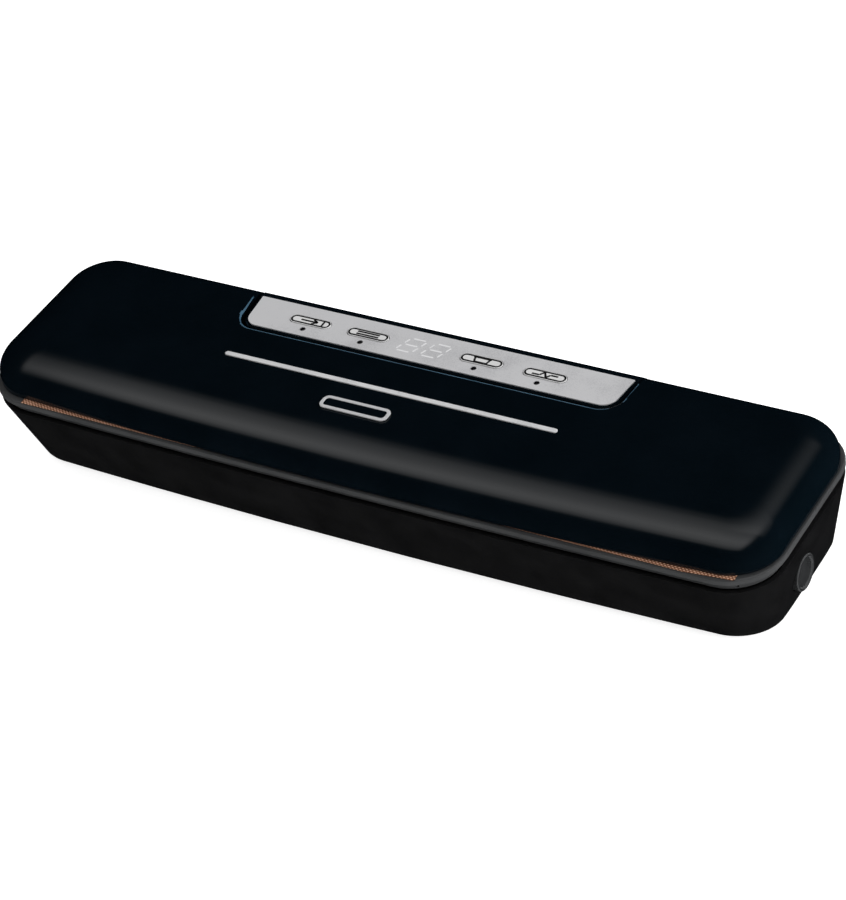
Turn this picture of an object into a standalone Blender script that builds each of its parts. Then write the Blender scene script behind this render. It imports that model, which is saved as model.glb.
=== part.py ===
# A slim household vacuum sealer: black base, hinged navy lid, raised silver control panel.
# Sizes are in millimetres and the mesh builders turn them into metres.
# +X runs along the sealer, -Y is its front, +Z is up, and its feet stand on Z = 0.

from math import cos, radians, sin, sqrt

import bmesh
import bpy
from mathutils import Matrix, Vector

MM = 0.001
GAP = 0.3
CORNER_STEPS = 9
FRONT_STEPS = 8
ROUND_STEPS = 24

# Lid.
LID_HALF = 195.0
LID_FRONT = -46.7
LID_BACK = 48.3
LID_RADIUS = 21.9
LID_BOW = 3.7
LID_EDGE = 46.6
LID_TOP = 61.6
LID_SHOULDER = 12.3
LID_FRONT_SHOULDER = 22.0
LID_END_SHOULDER = 20.0
LID_WALL = 2.2
LINER_BOTTOM = 47.2
LINER_TOP = 49.0
HINGE_Y = 47.0
HINGE_Z = 48.0
HINGE_X = 136.0
KNUCKLE_HALF = 9.0
BARREL_RADIUS = 2.4
PIN_RADIUS = 1.4

# Base.
RIM_HALF = 196.3
RIM_FRONT = -49.9
RIM_BACK = 51.5
RIM_RADIUS = 23.9
RIM_BOW = 1.6
RIM_TOP = 46.1
RIM_BOTTOM = 43.4
TUB_TOP = 39.0
TUB_BOTTOM = 3.0
TUB_WALL = 2.4
FLOOR_HALF = 188.6
FLOOR_FRONT = -37.8
FLOOR_BACK = 45.8
FLOOR_RADIUS = 19.9
FLOOR_BOW = 2.7
FOOT_RADIUS = 8.0
FOOT_HEIGHT = 2.7
FEET = {"fl": (-160, -22), "fr": (160, -22), "rl": (-160, 33), "rr": (160, 33)}

# Vacuum trough, its gaskets and the sealing bar.
TROUGH_HALF = 150.0
TROUGH_FRONT = -25.0
TROUGH_BACK = 5.0
TROUGH_FLOOR = 33.0
CHAMBER_ROOF = 55.0
GASKET_HALF = 162.0
GASKET_FRONT = -34.5
GASKET_BACK = 12.2
GASKET_WIDTH = 4.5
SEAL_LEFT = -171.5
SEAL_RIGHT = 183.0
SEAL_Y = -41.7
TAPE_BACK = -38.2
HOOK_X = 176.0
HOOK_Y = -20.0

# Control console in the lid's notch.
CONSOLE_X = 2.0
CONSOLE_BACK = 46.9
CONSOLE_TOP = 60.4
CONSOLE_SHOULDER = 7.3
CONSOLE_WALL = 2.1
NOTCH_FRONT = 16.1
NOTCH_HALF = 97.0
NOTCH_FLARE = 0.1
NOTCH_RADIUS = 10.0
SKIRT_BOTTOM = 56.4
CONSOLE_INSET = 1.8
PLATE_INSET = 3.4
PLATE_BACK = 39.3
PLATE_TOP = 60.7
PLATE_BOTTOM = 59.9
BUTTON_X = (-61.3, -31.1, 26.9, 58.4)
BUTTON_Y = 29.6
BUTTON_LENGTH = 20.8
BUTTON_WIDTH = 5.4
BUTTON_GAP = 0.35
BUTTON_BOTTOM = 57.0
LAMP_X = (-62.2, -32.1, 25.9, 57.2)
LAMP_Y = 23.9
LAMP_RADIUS = 1.05
DISPLAY_X = -2.2
DISPLAY_Y = 29.2
DISPLAY_SIZE = (29.0, 8.8)

# Release buttons on the end walls.
RELEASE_Y = -6.0
RELEASE_Z = 18.7
RELEASE_RADIUS = 8.3
RELEASE_FACE = 193.7
RELEASE_GAP = 0.35

# Mains inlet in the back wall.
INLET_X = -150.0
INLET_Z = 18.0

# Blank badge and trim strip on the lid.
BADGE_X = (-26.0, 8.0)
BADGE_Y = (-22.8, -14.8)
STRIP_X = -2.2
STRIP_Y = -3.2
STRIP_LENGTH = 168.0
STRIP_WIDTH = 2.5

LID_AXIS = (0.0, HINGE_Y, HINGE_Z)


def clear_scene():
    for item in list(bpy.data.objects):
        bpy.data.objects.remove(item, do_unlink=True)


def material(name, colour, roughness, metallic=0.0):
    made = bpy.data.materials.new(name)
    made.use_nodes = True
    shader = made.node_tree.nodes["Principled BSDF"]
    shader.inputs["Base Color"].default_value = (*colour, 1.0)
    shader.inputs["Roughness"].default_value = roughness
    shader.inputs["Metallic"].default_value = metallic
    made.diffuse_color = (*colour, 1.0)
    return made


def make_materials():
    return {
        "navy": material("navy", (0.004, 0.009, 0.02), 0.12),
        "black": material("black", (0.007, 0.007, 0.008), 0.5),
        "rim": material("rim", (0.1, 0.103, 0.11), 0.4),
        "silver": material("silver", (0.47, 0.46, 0.48), 0.35, 1.0),
        "bright": material("bright", (0.75, 0.75, 0.76), 0.25, 1.0),
        "lens": material("lens", (0.55, 0.56, 0.58), 0.3),
        "lamp": material("lamp", (0.01, 0.01, 0.011), 0.2),
        "tape": material("tape", (0.24, 0.12, 0.08), 0.6),
        "rubber": material("rubber", (0.012, 0.012, 0.013), 0.85),
        "foam": material("foam", (0.03, 0.03, 0.032), 0.95),
        "silicone": material("silicone", (0.25, 0.03, 0.02), 0.6),
        "steel": material("steel", (0.5, 0.5, 0.52), 0.3, 1.0),
        "board": material("board", (0.01, 0.09, 0.04), 0.5),
        "resin": material("resin", (0.02, 0.02, 0.02), 0.45),
        "hose": material("hose", (0.6, 0.62, 0.62), 0.4),
    }


# Outlines and solids.


def arc(centre_x, centre_y, radius, start, end, steps):
    angles = [radians(start + (end - start) * i / steps) for i in range(steps + 1)]
    return [(centre_x + radius * cos(a), centre_y + radius * sin(a)) for a in angles]


def rounded(left, right, front, back, radius, bow=0.0, steps=CORNER_STEPS):
    """An anticlockwise rounded rectangle whose front edge bows forwards."""
    radius = max(radius, 0.2)
    points = arc(left + radius, front + radius, radius, 180, 270, steps)
    middle = (left + right) / 2
    reach = (right - left) / 2 - radius
    pieces = FRONT_STEPS if bow else 1
    for i in range(1, pieces):
        along = -1 + 2 * i / pieces
        points.append((middle + along * reach, front - bow * (1 - along * along)))
    points += arc(right - radius, front + radius, radius, 270, 360, steps)
    points += arc(right - radius, back - radius, radius, 0, 90, steps)
    points += arc(left + radius, back - radius, radius, 90, 180, steps)
    return points


def lid_outline(inset, front_extra=0.0, end_extra=0.0):
    """The lid's plan, set in further at the front and the ends by their extras."""
    half = LID_HALF - inset - end_extra
    front = LID_FRONT + inset + front_extra
    back = LID_BACK - inset
    return rounded(-half, half, front, back, LID_RADIUS - inset, LID_BOW)


def rim_outline(inset):
    half = RIM_HALF - inset
    front = RIM_FRONT + inset
    back = RIM_BACK - inset
    return rounded(-half, half, front, back, RIM_RADIUS - inset, RIM_BOW)


def tub_outline(height, inset):
    """The base's wall tapers from under the rim to its floor."""
    share = (height - TUB_BOTTOM) / (TUB_TOP - TUB_BOTTOM)

    def between(low, high):
        return low + (high - low) * share

    half = between(FLOOR_HALF, RIM_HALF - 0.6) - inset
    front = between(FLOOR_FRONT, RIM_FRONT + 0.6) + inset
    back = between(FLOOR_BACK, RIM_BACK - 0.6) - inset
    radius = between(FLOOR_RADIUS, RIM_RADIUS - 0.6) - inset
    return rounded(-half, half, front, back, radius, between(FLOOR_BOW, RIM_BOW))


def notch_outline(inset, back):
    """The console's plan: straight sides that flare a little towards the open back."""
    front = NOTCH_FRONT + inset
    half = NOTCH_HALF - inset
    radius = max(NOTCH_RADIUS - inset, 1.0)
    left = CONSOLE_X - half
    right = CONSOLE_X + half
    spread = NOTCH_FLARE * (back - front - radius)
    points = arc(left + radius, front + radius, radius, 180, 270, CORNER_STEPS)
    points += arc(right - radius, front + radius, radius, 270, 360, CORNER_STEPS)
    return points + [(right + spread, back), (left - spread, back)]


def loft(rings):
    """A closed solid through rings of (outline, height), capped at its first and last."""
    mesh = bmesh.new()
    rows = []
    for points, height in rings:
        rows.append([mesh.verts.new((x * MM, y * MM, height * MM)) for x, y in points])
    for low, high in zip(rows, rows[1:]):
        for i, corner in enumerate(low):
            following = (i + 1) % len(low)
            mesh.faces.new((corner, low[following], high[following], high[i]))
    mesh.faces.new(reversed(rows[0]))
    mesh.faces.new(rows[-1])
    bmesh.ops.recalc_face_normals(mesh, faces=mesh.faces)
    return mesh


def prism(points, low, high):
    return loft([(points, low), (points, high)])


def block(x, y, z, radius=0.0):
    if radius:
        return prism(rounded(*x, *y, radius, steps=4), *z)
    return prism([(x[0], y[0]), (x[1], y[0]), (x[1], y[1]), (x[0], y[1])], *z)


def side_prism(profile, left, right):
    """A (Y, Z) profile extruded along X."""
    mesh = prism(profile, left, right)
    turn = Matrix(((0, 0, 1), (1, 0, 0), (0, 1, 0))).to_4x4()
    bmesh.ops.transform(mesh, matrix=turn, verts=mesh.verts)
    return mesh


def turned(profile, centre, axis="Z", steps=ROUND_STEPS):
    """A solid of revolution through (radius, height) pairs, standing at centre along axis."""
    mesh = loft([(arc(0, 0, r, 0, 360 - 360 / steps, steps - 1), h) for r, h in profile])
    if axis == "X":
        bmesh.ops.rotate(mesh, verts=mesh.verts, matrix=Matrix.Rotation(radians(90), 3, "Y"))
    if axis == "Y":
        bmesh.ops.rotate(mesh, verts=mesh.verts, matrix=Matrix.Rotation(radians(-90), 3, "X"))
    bmesh.ops.translate(mesh, verts=mesh.verts, vec=Vector(centre) * MM)
    return mesh


def mirrored(mesh):
    bmesh.ops.scale(mesh, vec=(-1, 1, 1), verts=mesh.verts)
    bmesh.ops.reverse_faces(mesh, faces=mesh.faces)
    return mesh


def joined(meshes):
    """Several separate solids in one mesh, for a cutter."""
    whole = bmesh.new()
    for mesh in meshes:
        data = bpy.data.meshes.new("piece")
        mesh.to_mesh(data)
        mesh.free()
        whole.from_mesh(data)
        bpy.data.meshes.remove(data)
    return whole


def add_object(name, mesh, origin=(0.0, 0.0, 0.0)):
    bmesh.ops.translate(mesh, verts=mesh.verts, vec=-Vector(origin) * MM)
    data = bpy.data.meshes.new(name)
    mesh.to_mesh(data)
    mesh.free()
    item = bpy.data.objects.new(name, data)
    item.location = Vector(origin) * MM
    bpy.context.scene.collection.objects.link(item)
    return item


def node(name, mesh, finish, origin=(0.0, 0.0, 0.0), parent=None):
    item = add_object(name, mesh, origin)
    item.data.materials.append(finish)
    for face in item.data.polygons:
        face.use_smooth = True
    item.data.set_sharp_from_angle(angle=radians(35))
    if parent:
        item.parent = parent
        item.location -= parent.location
    return item


def pivot(name, place):
    empty = bpy.data.objects.new(name, None)
    empty.location = Vector(place) * MM
    bpy.context.scene.collection.objects.link(empty)
    return empty


def shape(item, operation, mesh, label):
    """Adds or cuts a mesh with a Boolean that stays on the object."""
    tool = add_object(f"{item.name}_{label}", mesh)
    tool.hide_render = True
    tool.display_type = "WIRE"
    modifier = item.modifiers.new(label, "BOOLEAN")
    modifier.operation = operation
    modifier.solver = "EXACT"
    modifier.object = tool


def add_shape(item, mesh, label):
    shape(item, "UNION", mesh, label)


def cut_shape(item, mesh, label):
    shape(item, "DIFFERENCE", mesh, label)


def pill(centre_x, centre_y, length, width, low, high):
    x = (centre_x - length / 2, centre_x + length / 2)
    y = (centre_y - width / 2, centre_y + width / 2)
    return prism(rounded(*x, *y, width / 2 - 0.01, steps=6), low, high)


def pill_outline(centre_x, growth):
    """A button's plan, larger all round by growth."""
    half_x = BUTTON_LENGTH / 2 + growth
    half_y = BUTTON_WIDTH / 2 + growth
    x = (centre_x - half_x, centre_x + half_x)
    y = (BUTTON_Y - half_y, BUTTON_Y + half_y)
    return rounded(*x, *y, half_y - 0.01, steps=6)


def button_holes():
    """The wells that the push buttons travel in."""
    return joined([prism(pill_outline(x, BUTTON_GAP), 50, 64) for x in BUTTON_X])


# Base.


def make_tub(finish):
    inner_floor = TUB_BOTTOM + TUB_WALL
    rings = [
        (tub_outline(TUB_BOTTOM, 0.9), TUB_BOTTOM),
        (tub_outline(TUB_BOTTOM + 0.27, 0.27), TUB_BOTTOM + 0.27),
        (tub_outline(TUB_BOTTOM + 0.9, 0.0), TUB_BOTTOM + 0.9),
        (tub_outline(TUB_TOP - 0.8, 0.0), TUB_TOP - 0.8),
        (tub_outline(TUB_TOP, 0.8), TUB_TOP),
        (tub_outline(TUB_TOP, 2.0 + TUB_WALL), TUB_TOP),
        (tub_outline(TUB_TOP - 4.0, TUB_WALL), TUB_TOP - 4.0),
        (tub_outline(inner_floor, TUB_WALL), inner_floor),
    ]
    tub = node("base_tub", loft(rings), finish)
    cut_shape(tub, joined([screw_seat(place) for place in screw_places()]), "screw_seats")
    cut_shape(tub, joined([release_hole(), mirrored(release_hole())]), "release_holes")
    x = (INLET_X - 11.3, INLET_X + 11.3)
    cut_shape(tub, block(x, (42, 54), (INLET_Z - 6.3, INLET_Z + 6.3)), "inlet_hole")


def release_hole():
    radius = RELEASE_RADIUS + RELEASE_GAP
    return turned([(radius, 0), (radius, 22)], (180, RELEASE_Y, RELEASE_Z), "X", 32)


def make_feet(finish):
    for label, (x, y) in FEET.items():
        profile = [(FOOT_RADIUS - 1, 0), (FOOT_RADIUS, 0.8), (FOOT_RADIUS, FOOT_HEIGHT)]
        node(f"foot_{label}", turned(profile, (x, y, 0)), finish)


def screw_places():
    return [(-120, -22), (120, -22), (-120, 35), (120, 35)]


def screw_seat(place):
    return turned([(4.0, 0), (4.0, 1.6)], (*place, TUB_BOTTOM - 0.3), steps=16)


def make_tub_screws(finish):
    """Cross-head screws whose heads sit in the floor's recesses."""
    for i, (x, y) in enumerate(screw_places(), 1):
        rings = [(2.6, 0), (3.2, 0.3), (3.2, 1.0)]
        item = node(f"base_screw_{i}", turned(rings, (x, y, TUB_BOTTOM), steps=12), finish)
        depth = (TUB_BOTTOM - 1, TUB_BOTTOM + 0.5)
        cut_shape(item, block((x - 2, x + 2), (y - 0.4, y + 0.4), depth), "slot")
        cut_shape(item, block((x - 0.4, x + 0.4), (y - 2, y + 2), depth), "cross_slot")


def make_deck(finish):
    rings = [
        (rim_outline(6.0), RIM_BOTTOM + 0.3),
        (rim_outline(6.0), TUB_TOP + GAP),
        (rim_outline(3.0), TUB_TOP + GAP),
        (rim_outline(3.0), RIM_BOTTOM),
        (rim_outline(0.5), RIM_BOTTOM),
        (rim_outline(0.15), RIM_BOTTOM + 0.15),
        (rim_outline(0.0), RIM_BOTTOM + 0.5),
        (rim_outline(0.0), RIM_TOP - 0.9),
        (rim_outline(0.12), RIM_TOP - 0.45),
        (rim_outline(0.45), RIM_TOP - 0.12),
        (rim_outline(0.9), RIM_TOP),
    ]
    deck = node("base_deck", loft(rings), finish)
    cut_shape(deck, joined([hinge_relief(-200, -97), hinge_relief(101, 200)]), "hinge_relief")
    for side in (-1, 1):
        for i, ear in enumerate(hinge_ears(side * HINGE_X)):
            add_shape(deck, ear, f"ear_{side}_{i}")
    cut_shape(deck, joined([pin_hole(-HINGE_X), pin_hole(HINGE_X)]), "pin_holes")
    cut_shape(deck, prism(trough_outline(0), RIM_BOTTOM - 2, RIM_TOP + 2), "trough_opening")
    cut_shape(deck, gasket_ring(GAP, RIM_TOP - 1.5, RIM_TOP + 2), "gasket_groove")
    x = (SEAL_LEFT - GAP, SEAL_RIGHT + GAP)
    cut_shape(deck, block(x, (-60, TAPE_BACK + GAP), (45.7, 50)), "tape_seat")
    cut_shape(deck, block(x, (SEAL_Y - 2.6, SEAL_Y + 2.6), (40, 47)), "seal_bar_slot")
    cut_shape(deck, joined([hook_slot(), mirrored(hook_slot())]), "hook_slots")


def hinge_relief(left, right):
    return block((left, right), (44.0, 56.0), (45.2, 50.0))


def hinge_ears(middle):
    radius = BARREL_RADIUS + 0.2
    top = arc(HINGE_Y, HINGE_Z, radius, 0, 180, 12)
    profile = top + [(HINGE_Y - radius, 44.5), (HINGE_Y + radius, 44.5)]
    near = KNUCKLE_HALF + 0.6
    far = near + 4.8
    left = side_prism(profile, middle - far, middle - near)
    right = side_prism(profile, middle + near, middle + far)
    return [left, right]


def pin_hole(middle):
    radius = PIN_RADIUS + 0.08
    return turned([(radius, -30), (radius, 30)], (middle, HINGE_Y, HINGE_Z), "X")


def trough_outline(inset):
    x = (-TROUGH_HALF + inset, TROUGH_HALF - inset)
    y = (TROUGH_FRONT + inset, TROUGH_BACK - inset)
    return rounded(*x, *y, 10 - inset, steps=5)


def gasket_ring(growth, low, high):
    """A closed loop with a rectangular section around the trough."""
    outer = gasket_outline(-growth)
    inner = gasket_outline(GASKET_WIDTH + growth)
    mesh = bmesh.new()
    rows = []
    for points, height in ((outer, low), (outer, high), (inner, high), (inner, low)):
        rows.append([mesh.verts.new((x * MM, y * MM, height * MM)) for x, y in points])
    for one, other in zip(rows, rows[1:] + rows[:1]):
        for i, corner in enumerate(one):
            following = (i + 1) % len(one)
            mesh.faces.new((corner, one[following], other[following], other[i]))
    bmesh.ops.recalc_face_normals(mesh, faces=mesh.faces)
    return mesh


def gasket_outline(inset):
    x = (-GASKET_HALF + inset, GASKET_HALF - inset)
    y = (GASKET_FRONT + inset, GASKET_BACK - inset)
    return rounded(*x, *y, 12 - inset, steps=6)


def hook_slot():
    return block((HOOK_X - 2.5, HOOK_X + 3.5), (HOOK_Y - 8, HOOK_Y + 6), (36, 50))


def make_tray(finish):
    rings = [
        (trough_outline(2.0), TROUGH_FLOOR),
        (trough_outline(0.6), TROUGH_FLOOR + 1.5),
        (trough_outline(0.4), RIM_TOP - 0.3),
        (trough_outline(2.0), RIM_TOP - 0.3),
        (trough_outline(2.2), TROUGH_FLOOR + 2.6),
        (trough_outline(3.2), TROUGH_FLOOR + 1.6),
    ]
    tray = node("vacuum_tray", loft(rings), finish)
    hole = turned([(2.4, 0), (2.4, 6)], (-20, -10, TROUGH_FLOOR - 2), steps=16)
    cut_shape(tray, hole, "intake_hole")


def make_seal_line(finishes):
    x = (SEAL_LEFT, SEAL_RIGHT)
    node("seal_bar", block(x, (SEAL_Y - 2.3, SEAL_Y + 2.3), (40.5, 45.2)), finishes["resin"])
    strip_x = (SEAL_LEFT + 6, SEAL_RIGHT - 6)
    strip = block(strip_x, (SEAL_Y - 1.5, SEAL_Y + 1.5), (45.45, 45.65))
    node("heating_strip", strip, finishes["steel"])
    node("ptfe_tape", prism(tape_outline(), 46.0, 46.2), finishes["tape"])


def tape_outline():
    """The tape follows the rim's bowed front edge and is straight behind."""
    reach = RIM_HALF - RIM_RADIUS
    front = []
    for i in range(FRONT_STEPS * 2 + 1):
        x = SEAL_LEFT + (SEAL_RIGHT - SEAL_LEFT) * i / (FRONT_STEPS * 2)
        past = max(abs(x) - reach, 0.0)
        corner = RIM_RADIUS - sqrt(RIM_RADIUS**2 - past**2)
        bow = RIM_BOW * max(1 - (x / reach) ** 2, 0.0)
        front.append((x, RIM_FRONT + 0.5 - bow + corner))
    return front + [(SEAL_RIGHT, TAPE_BACK), (SEAL_LEFT, TAPE_BACK)]


# Console.


def console_ring(angle):
    """A ring on the console's back shoulder, a quarter circle; the other walls are upright."""
    back = CONSOLE_BACK - CONSOLE_SHOULDER * (1 - cos(radians(angle)))
    height = CONSOLE_TOP - CONSOLE_SHOULDER * (1 - sin(radians(angle)))
    return notch_outline(CONSOLE_INSET, back), height


def make_console(finish):
    shoulder = CONSOLE_TOP - CONSOLE_SHOULDER
    ceiling = PLATE_BOTTOM - GAP - CONSOLE_WALL
    inside = CONSOLE_INSET + CONSOLE_WALL
    bottom = RIM_TOP + GAP
    edge_back = CONSOLE_BACK - CONSOLE_SHOULDER + 0.6
    rings = [
        (notch_outline(inside, 40.0), ceiling),
        (notch_outline(inside, 42.0), ceiling - 3.0),
        (notch_outline(inside, CONSOLE_BACK - CONSOLE_WALL), shoulder - 2.0),
        (notch_outline(inside, CONSOLE_BACK - CONSOLE_WALL), bottom),
        (notch_outline(CONSOLE_INSET, CONSOLE_BACK), bottom),
    ]
    rings += [console_ring(angle) for angle in (0, 18, 36, 54, 67)]
    rings.append((notch_outline(CONSOLE_INSET + 0.6, edge_back), CONSOLE_TOP))
    console = node("control_console", loft(rings), finish)
    seat = prism(notch_outline(PLATE_INSET - GAP, PLATE_BACK + GAP), PLATE_BOTTOM - GAP, 66)
    cut_shape(console, seat, "plate_seat")
    cut_shape(console, button_holes(), "button_wells")


def make_fascia(finishes):
    blank = prism(notch_outline(PLATE_INSET, PLATE_BACK), PLATE_BOTTOM, PLATE_TOP)
    plate = node("fascia_plate", blank, finishes["silver"])
    cut_shape(plate, button_holes(), "button_holes")
    hole = LAMP_RADIUS + GAP
    lamps = [turned([(hole, 0), (hole, 6)], (x, LAMP_Y, 58), steps=16) for x in LAMP_X]
    cut_shape(plate, joined(lamps), "lamp_holes")
    cut_shape(plate, display_block(GAP, 50, 64), "display_hole")
    node("display_window", display_block(0, PLATE_BOTTOM, PLATE_TOP - 0.05), finishes["lens"])
    for i, x in enumerate(LAMP_X, 1):
        profile = [(LAMP_RADIUS, 0), (LAMP_RADIUS, 0.8), (LAMP_RADIUS - 0.25, 1.0)]
        lamp = turned(profile, (x, LAMP_Y, PLATE_BOTTOM), steps=16)
        node(f"indicator_lamp_{i}", lamp, finishes["lamp"])


def display_block(growth, low, high):
    half_x = DISPLAY_SIZE[0] / 2 + growth
    half_y = DISPLAY_SIZE[1] / 2 + growth
    x = (DISPLAY_X - half_x, DISPLAY_X + half_x)
    y = (DISPLAY_Y - half_y, DISPLAY_Y + half_y)
    return prism(rounded(*x, *y, 1.2 + growth, steps=3), low, high)


def make_buttons(finish):
    for i, x in enumerate(BUTTON_X, 1):
        rings = [
            (pill_outline(x, 0.0), BUTTON_BOTTOM),
            (pill_outline(x, 0.0), PLATE_TOP),
            (pill_outline(x, -0.35), PLATE_TOP + 0.3),
        ]
        place = (x, BUTTON_Y, PLATE_TOP)
        parent = pivot(f"button_{i}_slide", place)
        node(f"button_{i}", loft(rings), finish, place, parent)


def make_control_board(finishes):
    x = (CONSOLE_X - 78, CONSOLE_X + 78)
    node("control_board", block(x, (22, 38), (52.2, 53.8)), finishes["board"])
    for i, place in enumerate(BUTTON_X, 1):
        rings = [(3.0, 0), (3.0, 1.6), (1.6, 1.61), (1.6, 2.3)]
        switch = turned(rings, (place, BUTTON_Y, 54.1), steps=12)
        node(f"tact_switch_{i}", switch, finishes["resin"])


# Inside the base.


def make_pump(finishes):
    motor = turned([(12, 0), (12, 34), (4, 34.01), (4, 37)], (58, 24, 20), "X")
    node("pump_motor", motor, finishes["steel"])
    node("pump_head", block((24, 57.5), (11, 37), (8, 31), 3), finishes["resin"])
    path = [(-20, -10, 25.2), (-20, -10, 22), (-17, 0, 17), (-5, 16, 16)]
    path += [(10, 24, 18), (18, 24, 18), (23.6, 24, 18)]
    node("vacuum_hose", tube(path, 2.8), finishes["hose"])
    nozzle = turned([(3.6, 0), (3.6, 5.4), (5.5, 5.41), (5.5, 6.9)], (-20, -10, 25.6), steps=16)
    node("intake_nozzle", nozzle, finishes["resin"])


def tube(path, radius, sides=10):
    """A round tube through the given points."""
    points = [Vector(place) for place in path]
    mesh = bmesh.new()
    rows = []
    for i, point in enumerate(points):
        ahead = points[min(i + 1, len(points) - 1)]
        behind = points[max(i - 1, 0)]
        along = (ahead - behind).normalized()
        turn = Vector((0, 0, 1)).rotation_difference(along).to_matrix()
        ring = [point + turn @ Vector((radius * x, radius * y, 0)) for x, y in unit_circle(sides)]
        rows.append([mesh.verts.new(place * MM) for place in ring])
    for low, high in zip(rows, rows[1:]):
        shift = nearest_shift(low, high)
        for j in range(sides):
            k = (j + 1) % sides
            mesh.faces.new((low[j], low[k], high[(k + shift) % sides], high[(j + shift) % sides]))
    mesh.faces.new(reversed(rows[0]))
    mesh.faces.new(rows[-1])
    bmesh.ops.recalc_face_normals(mesh, faces=mesh.faces)
    return mesh


def unit_circle(sides):
    return [(cos(radians(360 * i / sides)), sin(radians(360 * i / sides))) for i in range(sides)]


def nearest_shift(low, high):
    """How far to turn the next ring so that the tube isn't twisted."""
    count = len(low)

    def spread(shift):
        return sum((low[j].co - high[(j + shift) % count].co).length for j in range(count))

    return min(range(count), key=spread)


def make_power(finishes):
    node("power_board", block((-128, -62), (12, 42), (8.0, 9.6)), finishes["board"])
    node("power_transformer", block((-112, -84), (16, 38), (10.0, 30.0), 2), finishes["resin"])
    x = (INLET_X - 11, INLET_X + 11)
    inlet = node("power_inlet", block(x, (31, 48.4), (INLET_Z - 6, INLET_Z + 6)), finishes["black"])
    socket = block((INLET_X - 8.5, INLET_X + 8.5), (36, 60), (INLET_Z - 4, INLET_Z + 4))
    cut_shape(inlet, socket, "socket")
    for side in (-1, 1):
        hole = inlet_rod(INLET_X + 4.5 * side, 1.5, 33.4, 40)
        cut_shape(inlet, hole, f"pin_hole_{side + 1}")
        label = "left" if side < 0 else "right"
        node(f"inlet_pin_{label}", inlet_rod(INLET_X + 4.5 * side, 1.2, 33.8, 44.0), finishes["bright"])


def inlet_rod(x, radius, start, end):
    return turned([(radius, 0), (radius, end - start)], (x, start, INLET_Z), "Y", 16)


# Releases.


def release_cap():
    face = RELEASE_FACE
    profile = [
        (3.0, 184.8),
        (RELEASE_RADIUS + 1.3, 184.81),
        (RELEASE_RADIUS + 1.3, 186.2),
        (RELEASE_RADIUS, 186.21),
        (RELEASE_RADIUS, face - 0.5),
        (RELEASE_RADIUS - 0.5, face),
        (RELEASE_RADIUS - 1.3, face),
        (RELEASE_RADIUS - 2.0, face - 0.9),
    ]
    return turned(profile, (0, RELEASE_Y, RELEASE_Z), "X", 32)


def latch_slider():
    profile = [(-25, 35.5), (-15, 35.5), (-15, 12), (3, 12), (3, 25), (-8, 25), (-8, 41), (-25, 41)]
    return side_prism(profile, 181.6, 184.5)


def make_releases(finishes):
    for label, side in (("left", -1), ("right", 1)):
        cap = release_cap()
        slider = latch_slider()
        if side < 0:
            cap = mirrored(cap)
            slider = mirrored(slider)
        place = (side * RELEASE_FACE, RELEASE_Y, RELEASE_Z)
        parent = pivot(f"release_{label}_slide", place)
        node(f"release_button_{label}", cap, finishes["black"], place, parent)
        node(f"release_latch_{label}", slider, finishes["steel"], place, parent)


# Lid.


def shoulder_rings(shrink, bottom, steps):
    """Rings up the lid's wall and round its shoulder, which is wider in front and at the ends."""
    radius = LID_SHOULDER - shrink
    centre = LID_TOP - LID_SHOULDER
    rings = [(lid_outline(shrink), bottom)]
    for i in range(steps + 1):
        angle = radians(90 * i / steps)
        across = 1 - cos(angle)
        fuller = 1 - (1 - sin(angle) ** 2.5) ** 0.4
        front_extra = (LID_FRONT_SHOULDER - LID_SHOULDER) * across
        end_extra = (LID_END_SHOULDER - shrink) * fuller - radius * across
        plan = lid_outline(shrink + radius * across, front_extra, end_extra)
        rings.append((plan, centre + radius * sin(angle)))
    return rings


def make_lid_shell(finish, parent):
    outer = shoulder_rings(0.0, LID_EDGE + 0.5, 7)
    outer.insert(0, (lid_outline(0.5), LID_EDGE))
    shell = node("lid_shell", loft(outer), finish, LID_AXIS, parent)
    cut_shape(shell, loft(shoulder_rings(LID_WALL, LID_EDGE - 3, 4)), "hollow")
    skirt = prism(notch_outline(-2.0, 40.0), SKIRT_BOTTOM, LID_TOP - 1)
    add_shape(shell, skirt, "notch_skirt")
    cut_shape(shell, prism(notch_outline(0.0, 60.0), 40, 70), "notch")
    for side in (-1, 1):
        x = side * HINGE_X
        barrel = [(BARREL_RADIUS, -KNUCKLE_HALF), (BARREL_RADIUS, KNUCKLE_HALF)]
        add_shape(shell, turned(barrel, (x, HINGE_Y, HINGE_Z), "X"), f"barrel_{side + 1}")
    cut_shape(shell, joined(ear_clearances()), "ear_clearances")
    cut_shape(shell, joined([pin_hole(-HINGE_X), pin_hole(HINGE_X)]), "pin_holes")
    cut_shape(shell, strip_block(GAP, LID_TOP - 0.6, LID_TOP + 1), "strip_seat")


def ear_clearances():
    near = KNUCKLE_HALF + 0.01
    far = near + 6.0
    meshes = []
    for middle in (-HINGE_X, HINGE_X):
        for low, high in ((-far, -near), (near, far)):
            meshes.append(block((middle + low, middle + high), (43, 52), (44, 51.4)))
    return meshes


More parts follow.
